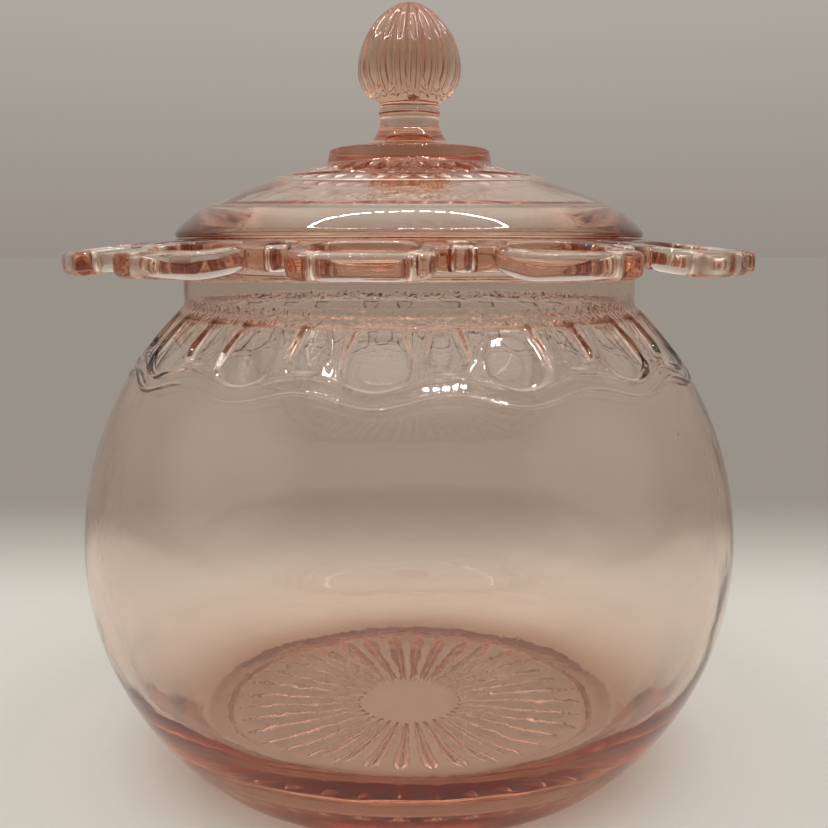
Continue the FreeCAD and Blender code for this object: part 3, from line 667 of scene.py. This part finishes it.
def on_ball(latitude):
    """A place on the ball's own outline."""
    return (BELLY_RADIUS * math.cos(latitude), BELLY_HEIGHT + BELLY_RADIUS * math.sin(latitude))


bowl_outline = outline((RECESS_RADIUS, BASE_RECESS), (50.0, 0.12, 0, 2), (50.6, 0, 1.0, 2),
                       (56.86, 0, 0, 3), (58.85, 0.75, 3.0, 4), (BELLY_RADIUS, BELLY_HEIGHT, LOWER_ARC, 26),
                       (*on_ball(LATITUDE_LOW), BELLY_RADIUS, 16))
neck_outline = outline(on_ball(LATITUDE_HIGH), (NECK_RADIUS, 114.6, -SHOULDER_FILLET, 4),
                       (NECK_RADIUS, NECK_EDGE[1] - NECK_FILLET, 0, 4), (*NECK_EDGE, -NECK_FILLET, 6))
inner_outline = outline(SEAT_EDGE, (MOUTH_RADIUS + MOUTH_ROUNDING, FLANGE_TOP, 0, 3),
                        (MOUTH_RADIUS, FLANGE_TOP - MOUTH_ROUNDING, MOUTH_ROUNDING, 4),
                        (MOUTH_RADIUS, INNER_NECK_BASE + 1.2, 0, 5), (53.3, INNER_NECK_BASE - 0.74, 1.4, 3),
                        (INNER_RADIUS, BELLY_HEIGHT, -INNER_RADIUS, 26), (*SIDE_FOOT, -SIDE_ARC, 11),
                        (FLOOR_RADIUS, FLOOR_HEIGHT, -FLOOR_CORNER, 16), (0, FLOOR_HEIGHT, 0, 5))
print("bowl, neck and inside: %d, %d and %d rows"
      % (len(bowl_outline), len(neck_outline), len(inner_outline)))

# %% Turned outlines of the lid
RING_OUTER, RING_INNER = 52.0, 48.4
LID_EDGE = 1.3                    # height of the rim's widest place above the seat
CEILING, CEILING_ARC = 14.3, 140.0    # the underside of the dome
COLLAR_TOP, COLLAR_TOP_RADIUS, COLLAR_ROUNDING = 21.7, 20.0, 0.8


def on_lid(points):
    """The lid's drawing starts at its seat."""
    return [(r, LID_SEAT + z) for r, z in points]


stem_outline = on_lid(outline(
    (STEM_RADIUS, BUD_START - 1.2), (STEM_RADIUS, 31.2, 0, 1), (7.75, 30.75, -0.45, 2),
    (7.45, 30.3, -0.45, 2), (7.4, 28.6, 0, 3), (12.2, 22.6, 6.6, 10),
    (COLLAR_TOP_RADIUS - COLLAR_ROUNDING, COLLAR_TOP + 0.06, 0, 4), (20.1, 20.95, -COLLAR_ROUNDING, 4),
    (COLLAR_RADIUS - 0.15, DOME_RISE + 0.4, 0, 4)))
stem_outline.append(dome_point(0, LEAVES_HIGH, 0)[1:])
rim_outline = [dome_point(0, r, 0)[1:] for r in (LEAVES_LOW, *np.linspace(36, SHOULDER_IN, 10))]
rim_outline += on_lid(outline(
    (SHOULDER_IN, SHOULDER_RISE), (57.98, LID_EDGE, -22.0, 12), (57.9, 0.25, -1.2, 3), (57.5, 0, -0.5, 2),
    (RING_OUTER + 0.4, 0, 0, 3), (RING_OUTER, -0.4, 0.4, 2), (RING_OUTER, -4.4, 0, 4),
    (51.4, -RING_DEPTH, -0.6, 3), (49.0, -RING_DEPTH, 0, 2), (RING_INNER, -4.4, -0.6, 3),
    (RING_INNER, 3.4, 0, 5), (47.5, 4.55, 1.0, 3), (17.8, CEILING, CEILING_ARC, 20), (0, CEILING, 0, 4)))[1:]
print("stem and rim: %d and %d rows" % (len(stem_outline), len(rim_outline)))

# %% [markdown]
# ## Node trees without the clutter
# Node trees are easier to read as sums. A wire wraps one socket, and arithmetic on wires adds the Math
# nodes. Any other node comes from one method: its type, its settings, then what goes into its sockets.
# The same two classes serve Geometry Nodes and the shaders.

# %% Wires and trees
class Wire:
    """One value on its way through a node tree."""

    def __init__(self, tree, socket):
        self.tree = tree
        self.socket = socket

    def math(self, operation, *values):
        return self.tree.add("ShaderNodeMath", {"operation": operation}, dict(enumerate(values)))

    def __add__(self, other):
        return self.math("ADD", self, other)

    def __radd__(self, other):
        return self.math("ADD", other, self)

    def __sub__(self, other):
        return self.math("SUBTRACT", self, other)

    def __rsub__(self, other):
        return self.math("SUBTRACT", other, self)

    def __mul__(self, other):
        return self.math("MULTIPLY", self, other)

    def __rmul__(self, other):
        return self.math("MULTIPLY", other, self)

    def __truediv__(self, other):
        return self.math("DIVIDE", self, other)

    def step(self, low, high):
        """0 at low, 1 at high, smooth between."""
        return self.tree.add("ShaderNodeMapRange", {"interpolation_type": "SMOOTHSTEP"},
                             {"Value": self, "From Min": low, "From Max": high})


class Tree:
    """Adds nodes to one tree."""

    def __init__(self, nodes):
        self.nodes = nodes

    def add(self, kind, settings=None, sockets=None, out=0):
        node = self.nodes.nodes.new(kind)
        for name, value in (settings or {}).items():
            if name == "stops":
                ramp = node.color_ramp.elements
                while len(ramp) < len(value):
                    ramp.new(1.0)
                for element, (position, color) in zip(ramp, value):
                    element.position = position
                    element.color = color
            else:
                setattr(node, name, value)
        for name, value in (sockets or {}).items():
            if isinstance(value, Wire):
                self.nodes.links.new(value.socket, node.inputs[name])
            else:
                node.inputs[name].default_value = value
        return Wire(self, node.outputs[out]) if node.outputs else None


# %% [markdown]
# ## Wrapping and repeating
# One tree presses a whole piece. For every sheet it moves each point from its unrolled place to its real
# one, copies the result round the axis, and joins all zones. The seams of a pressing are closed glass, so
# points that meet are merged. The tree ends in Realize Instances and Set Material, so the modifier's
# result is an ordinary mesh.

# %% The pressing tree
WELD = 2e-6                       # metres; points closer than this are one


def pressing_tree(name, zones):
    group = bpy.data.node_groups.new(name, "GeometryNodeTree")
    face = group.interface
    face.new_socket(name="Geometry", in_out="INPUT", socket_type="NodeSocketGeometry")
    for zone in zones:
        face.new_socket(name=zone, in_out="INPUT", socket_type="NodeSocketObject")
        face.new_socket(name=zone + " repeats", in_out="INPUT", socket_type="NodeSocketInt")
    face.new_socket(name="Unit", in_out="INPUT", socket_type="NodeSocketFloat")
    face.new_socket(name="Glass", in_out="INPUT", socket_type="NodeSocketMaterial")
    face.new_socket(name="Geometry", in_out="OUTPUT", socket_type="NodeSocketGeometry")
    tree = Tree(group)
    inputs = group.nodes.new("NodeGroupInput")
    given = {socket.name: Wire(tree, socket) for socket in inputs.outputs if socket.name}

    place = tree.add("ShaderNodeSeparateXYZ", sockets={0: tree.add("GeometryNodeInputPosition")})
    angle, reach, height = (Wire(tree, place.socket.node.outputs[axis]) for axis in "XYZ")
    reach = reach * given["Unit"]
    wrapped = tree.add("ShaderNodeCombineXYZ", sockets={
        "X": reach * angle.math("COSINE", angle), "Y": reach * angle.math("SINE", angle),
        "Z": height * given["Unit"]})
    index = tree.add("GeometryNodeInputIndex")
    copies = []
    for zone in zones:
        sheet = tree.add("GeometryNodeObjectInfo", sockets={"Object": given[zone]}, out="Geometry")
        formed = tree.add("GeometryNodeSetPosition", sockets={"Geometry": sheet, "Position": wrapped})
        repeats = given[zone + " repeats"]
        spots = tree.add("GeometryNodeMeshLine", sockets={"Count": repeats, "Offset": (0, 0, 0)})
        bearing = tree.add("FunctionNodeAxisAngleToRotation", sockets={
            "Axis": (0, 0, 1), "Angle": index * math.tau / repeats})
        copies.append(tree.add("GeometryNodeInstanceOnPoints", sockets={
            "Points": spots, "Instance": formed, "Rotation": bearing}))
    joined = tree.add("GeometryNodeJoinGeometry")
    for copy in copies:
        group.links.new(copy.socket, joined.socket.node.inputs[0])
    solid = tree.add("GeometryNodeRealizeInstances", sockets={"Geometry": joined})
    welded = tree.add("GeometryNodeMergeByDistance", sockets={"Geometry": solid, "Distance": WELD})
    glazed = tree.add("GeometryNodeSetMaterial", sockets={"Geometry": welded, "Material": given["Glass"]})
    out = group.nodes.new("NodeGroupOutput")
    group.links.new(glazed.socket, out.inputs[0])
    return group


def press(name, zones, glass):
    """Makes one piece of glass from its sheets."""
    group = pressing_tree(name + "_pressing", list(zones))
    piece = bpy.data.objects.new(name, bpy.data.meshes.new(name))
    bpy.context.scene.collection.objects.link(piece)
    modifier = piece.modifiers.new("pressing", "NODES")
    modifier.node_group = group
    given = {item.name: item.identifier for item in group.interface.items_tree if item.in_out == "INPUT"}
    modifier[given["Unit"]] = MM
    modifier[given["Glass"]] = glass
    flats = []
    for zone, sheet in zones.items():
        mesh = bpy.data.meshes.new(zone)
        mesh.from_pydata(sheet.points, [], sheet.faces)
        flats.append(bpy.data.objects.new(zone, mesh))
        modifier[given[zone]] = flats[-1]
        modifier[given[zone + " repeats"]] = sheet.repeats
    bpy.context.view_layer.update()
    pressed = bpy.data.meshes.new_from_object(piece.evaluated_get(bpy.context.evaluated_depsgraph_get()))
    piece.modifiers.clear()
    piece.data = pressed
    for flat in flats:
        bpy.data.objects.remove(flat)
    skin = bmesh.new()
    skin.from_mesh(pressed)
    bmesh.ops.dissolve_degenerate(skin, dist=WELD, edges=skin.edges)
    bmesh.ops.recalc_face_normals(skin, faces=skin.faces)
    open_edges = sum(len(edge.link_faces) != 2 for edge in skin.edges)
    volume = skin.calc_volume(signed=True)
    skin.to_mesh(pressed)
    skin.free()
    pressed.shade_smooth()
    pressed.calc_loop_triangles()
    print("%s: %d triangles, %d open edges, %.1f cm3"
          % (name, len(pressed.loop_triangles), open_edges, volume * 1e6))
    return piece


# %% [markdown]
# ## Pink glass
# The pink of this glass is in the melt, so it grows with thickness: the wall is nearly clear and the base
# is deep. A tinted surface can't do that. The surface is therefore clear, and a volume that absorbs more
# green and blue than red gives the colour. Moulded glass is never optically flat, so soft ripples, a few
# seeds and a fine haze of wear bend the highlights a little, as bump and roughness.

# %% The glass
IOR = 1.52
RIPPLE_HEIGHT, SKIN_HEIGHT, SEED_HEIGHT, PEBBLE_HEIGHT = 0.00022, 0.000012, 0.00010, 0.0006   # metres
GLASS_COLOR = (0.785, 0.405, 0.15, 1.0)
CLEAR = (1.0, 0.985, 0.975, 1.0)


def pressed_glass(name, depth, worn_low, worn_high, sparkle_height):
    """Glass of one depth of pink, hazy between two heights, where it stands, and pebbled at one height."""
    material = bpy.data.materials.new(name)
    material.use_nodes = True
    tree = Tree(material.node_tree)
    material.node_tree.nodes.clear()
    place = tree.add("ShaderNodeTexCoord", out="Object")
    height = tree.add("ShaderNodeSeparateXYZ", sockets={0: place}, out="Z")

    ripple = tree.add("ShaderNodeTexNoise", sockets={
        "Vector": place, "Scale": 55.0, "Detail": 1.5, "Roughness": 0.4})
    skin = tree.add("ShaderNodeTexNoise", sockets={"Vector": place, "Scale": 420.0, "Detail": 2.0})
    cells = tree.add("ShaderNodeTexVoronoi", {"feature": "F1"}, {"Vector": place, "Scale": 95.0})
    lot = tree.add("ShaderNodeSeparateColor", sockets={0: Wire(tree, cells.socket.node.outputs["Color"])})
    seed = (1 - cells.step(0.0, 0.055)) * lot.step(0.90, 0.92)
    pebble = tree.add("ShaderNodeTexNoise", sockets={"Vector": place, "Scale": 900.0, "Detail": 1.0})
    near = height - sparkle_height
    near = near.math("ABSOLUTE", near)
    band = 1 - near.step(0.0009, 0.0022)

    rough = 0.006 + 0.014 * skin
    worn = height.step(worn_low, worn_low + 0.0002) * (1 - height.step(worn_high, worn_high + 0.0002))
    scuff = tree.add("ShaderNodeTexNoise", sockets={"Vector": place, "Scale": 2600.0, "Detail": 3.0})
    rough = rough + worn * (0.10 + 0.25 * scuff)

    relief = (ripple * RIPPLE_HEIGHT + skin * SKIN_HEIGHT + seed * SEED_HEIGHT
              + band * pebble * PEBBLE_HEIGHT)
    bump = tree.add("ShaderNodeBump", sockets={"Strength": 1.0, "Distance": 1.0, "Height": relief})
    surface = tree.add("ShaderNodeBsdfPrincipled", sockets={
        "Base Color": CLEAR, "Roughness": rough, "IOR": IOR, "Transmission Weight": 1.0, "Normal": bump})
    melt = tree.add("ShaderNodeVolumeAbsorption", sockets={"Color": GLASS_COLOR, "Density": depth})
    tree.add("ShaderNodeOutputMaterial", sockets={"Surface": surface, "Volume": melt})
    return material


NO_SPARKLE = 1.0                  # metres; a height above the whole piece
ring_foot = LID_SEAT - RING_DEPTH
jar_glass = pressed_glass("jar_glass", 55.0, -0.001, 0.0002, on_ball(LATITUDE_HIGH)[1] * MM)
lid_glass = pressed_glass("lid_glass", 50.0, (ring_foot - 1) * MM, (ring_foot + 0.2) * MM, NO_SPARKLE)

# %% [markdown]
# ## The two pieces
# Each pressing replaces its plain design solid and rides on that solid's body, so the lid's skin lifts
# when the lid does.

# %% Press the jar and the lid
jar = press("jar_pressed", {
    "Base": sunburst(), "Bowl": plain(bowl_outline), "Shoulder": panels(), "Neck": plain(neck_outline),
    "Lace": lace(), "Inside": plain(inner_outline)}, jar_glass)
lid = press("lid_pressed", {
    "Bud": bud(), "Stem": plain(stem_outline), "Leaves": leaves(), "Rim": plain(rim_outline)}, lid_glass)
for piece, body, node, slot in ((jar, "jar", "jar", "jar_glass"), (lid, "lid", "lid", "lid_glass")):
    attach(piece, body)
    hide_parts(node)

# %% [markdown]
# ## The studio
# Clear glass shows only what is round it. The jar stands in a soft tent: a pale table that fades to grey
# behind it, a grey wall all round that is bright overhead, with a soft glow at each side, and an oval of
# small lamps on the ceiling, which draws the fine bright lines on rims, ribs and panel edges. The lamps are
# kept off the table: light that has to find its way through glass comes from the tent.

# %% Table
CAMERA_TURN = math.radians(-97.0)  # where the camera stands round the axis
toward = Vector((math.cos(CAMERA_TURN), math.sin(CAMERA_TURN), 0))
across = Vector((-toward.y, toward.x, 0))
TABLE_SIZE, TABLE_HEIGHT = 30, -0.0002   # just under the foot


def along(wire, direction):
    """How far a vector on a wire reaches along a direction."""
    return wire.tree.add("ShaderNodeVectorMath", {"operation": "DOT_PRODUCT"},
                         {0: wire, 1: tuple(direction)}, out="Value")


def table_finish():
    """Pale paper that darkens behind the jar and far away, with a painted pool of light round the foot."""
    material = bpy.data.materials.new("table_paper")
    material.use_nodes = True
    tree = Tree(material.node_tree)
    place = tree.add("ShaderNodeTexCoord", out="Object")
    behind = along(place, -toward)
    distance = tree.add("ShaderNodeVectorMath", {"operation": "LENGTH"}, {0: place}, out="Value")
    away = behind.step(0.07, 0.27)
    away = away.math("MAXIMUM", away, distance.step(0.45, 1.1))
    grain = tree.add("ShaderNodeTexNoise", sockets={"Vector": place, "Scale": 9.0, "Detail": 4.0})
    # near lightens the paper round the foot: a painted pool of light where light through the glass would gather.
    near = 1 - distance.step(0.060, 0.11)
    fade = 0.25 + 0.75 * away - 0.25 * near + (grain - 0.5) * 0.03
    color = tree.add("ShaderNodeValToRGB", {"stops": [
        (0.0, (0.93, 0.93, 0.91, 1)), (0.25, (0.68, 0.68, 0.645, 1)), (0.66, (0.45, 0.435, 0.405, 1)),
        (1.0, (0.30, 0.283, 0.26, 1))]}, {0: fade})
    fibre = tree.add("ShaderNodeTexNoise", sockets={"Vector": place, "Scale": 700.0, "Detail": 3.0})
    bump = tree.add("ShaderNodeBump", sockets={"Strength": 0.15, "Distance": 0.0002, "Height": fibre})
    principled = material.node_tree.nodes["Principled BSDF"]
    for name, wire in (("Base Color", color), ("Normal", bump)):
        material.node_tree.links.new(wire.socket, principled.inputs[name])
    principled.inputs["Roughness"].default_value = 0.9
    principled.inputs["Specular IOR Level"].default_value = 0.1
    return material


bpy.ops.mesh.primitive_plane_add(size=TABLE_SIZE)
table = bpy.context.object
table.name = "table"
table.location.z = TABLE_HEIGHT
table.data.materials.append(table_finish())

# %% Sky and lights
world = bpy.data.worlds.new("tent")
bpy.context.scene.world = world
world.use_nodes = True
tree = Tree(world.node_tree)
direction = tree.add("ShaderNodeTexCoord", out="Generated")
up = tree.add("ShaderNodeSeparateXYZ", sockets={0: direction}, out="Z")
sky = tree.add("ShaderNodeValToRGB", {"stops": [
    (0.0, (0.31, 0.275, 0.245, 1)), (0.16, (0.40, 0.365, 0.325, 1)), (0.45, (0.56, 0.52, 0.475, 1)),
    (0.75, (0.68, 0.64, 0.59, 1)), (0.88, (1.7, 1.63, 1.54, 1)), (1.0, (2.0, 1.92, 1.82, 1))]}, {0: up})
GLOW_EDGE, GLOW_CORE = math.cos(math.radians(32)), math.cos(math.radians(8))
ROOM_SHADE = 0.45                 # how much darker the room is on the camera's side
glow = 1.0
for side, lift, gain in ((-1, 0.42, 1.0), (1, 0.38, 0.8)):
    spot = (across * side + toward * 0.35 + Vector((0, 0, lift))).normalized()
    glow = gain * along(direction, spot).step(GLOW_EDGE, GLOW_CORE) + glow
room = along(direction, toward).step(0.1, 0.8) * (1 - up.step(0.2, 0.6))
light = tree.add("ShaderNodeVectorMath", {"operation": "SCALE"},
                 {0: sky, "Scale": glow * (1 - ROOM_SHADE * room)})
background = world.node_tree.nodes["Background"]
world.node_tree.links.new(light.socket, background.inputs["Color"])
background.inputs["Strength"].default_value = 1.0


LAMPS, LAMP_HEIGHT, LAMP_LENGTH, LAMP_WIDTH = 60, 0.46, 0.014, 0.007
LAMP_WATTS, LAMP_COLOR = 0.04, (1, 0.95, 0.89)
LOOP_CENTRE, LOOP_DEPTH, LOOP_WIDTH = 0.115, 0.155, 0.21   # the oval, in front of the axis
for number in range(LAMPS):
    bearing = math.tau * number / LAMPS
    ahead, aside = math.cos(bearing), math.sin(bearing)
    light = bpy.data.lights.new("lamp_%02d" % number, "AREA")
    light.shape = "RECTANGLE"
    light.size, light.size_y = LAMP_LENGTH, LAMP_WIDTH
    light.energy = LAMP_WATTS
    light.color = LAMP_COLOR
    lamp = bpy.data.objects.new(light.name, light)
    lamp.location = toward * (LOOP_CENTRE + LOOP_DEPTH * ahead) + across * LOOP_WIDTH * aside
    lamp.location.z = LAMP_HEIGHT
    course = across * LOOP_WIDTH * ahead - toward * LOOP_DEPTH * aside
    lamp.rotation_euler = (0, 0, math.atan2(course.y, course.x))   # it shines down, along the oval
    lamp.visible_diffuse = False
    bpy.context.scene.collection.objects.link(lamp)

# %% [markdown]
# ## The camera
# The camera stands close, a little below the rim of the flange, and looks slightly down, so the lace is
# seen edge on and the sunburst through the front of the bowl.

# %% Camera
LENS, SENSOR = 45.6, 36           # millimetres
CAMERA_DISTANCE, CAMERA_HEIGHT, CAMERA_DIP = 0.270, 0.1275, math.radians(8.94)
AIM_RIGHT = 0.00116               # the jar stands a little to the left of the middle
BOUNCES = 32                      # light passes many faces of glass before it is out
camera = bpy.data.cameras.new("camera")
camera.lens = LENS
camera.sensor_width = SENSOR
camera.clip_start = 0.01
viewer = bpy.data.objects.new("camera", camera)
viewer.location = toward * CAMERA_DISTANCE + Vector((0, 0, CAMERA_HEIGHT))
aim = across * AIM_RIGHT + Vector((0, 0, CAMERA_HEIGHT - CAMERA_DISTANCE * math.tan(CAMERA_DIP)))
viewer.rotation_euler = (aim - viewer.location).to_track_quat("-Z", "Y").to_euler()
bpy.context.scene.collection.objects.link(viewer)
bpy.context.scene.camera = viewer

scene = bpy.context.scene
scene.view_settings.view_transform = "Standard"
scene.cycles.max_bounces = BOUNCES
scene.cycles.transmission_bounces = BOUNCES
scene.cycles.glossy_bounces = BOUNCES
scene.cycles.sample_clamp_indirect = 4.0
print("camera at", [round(v, 4) for v in viewer.location])
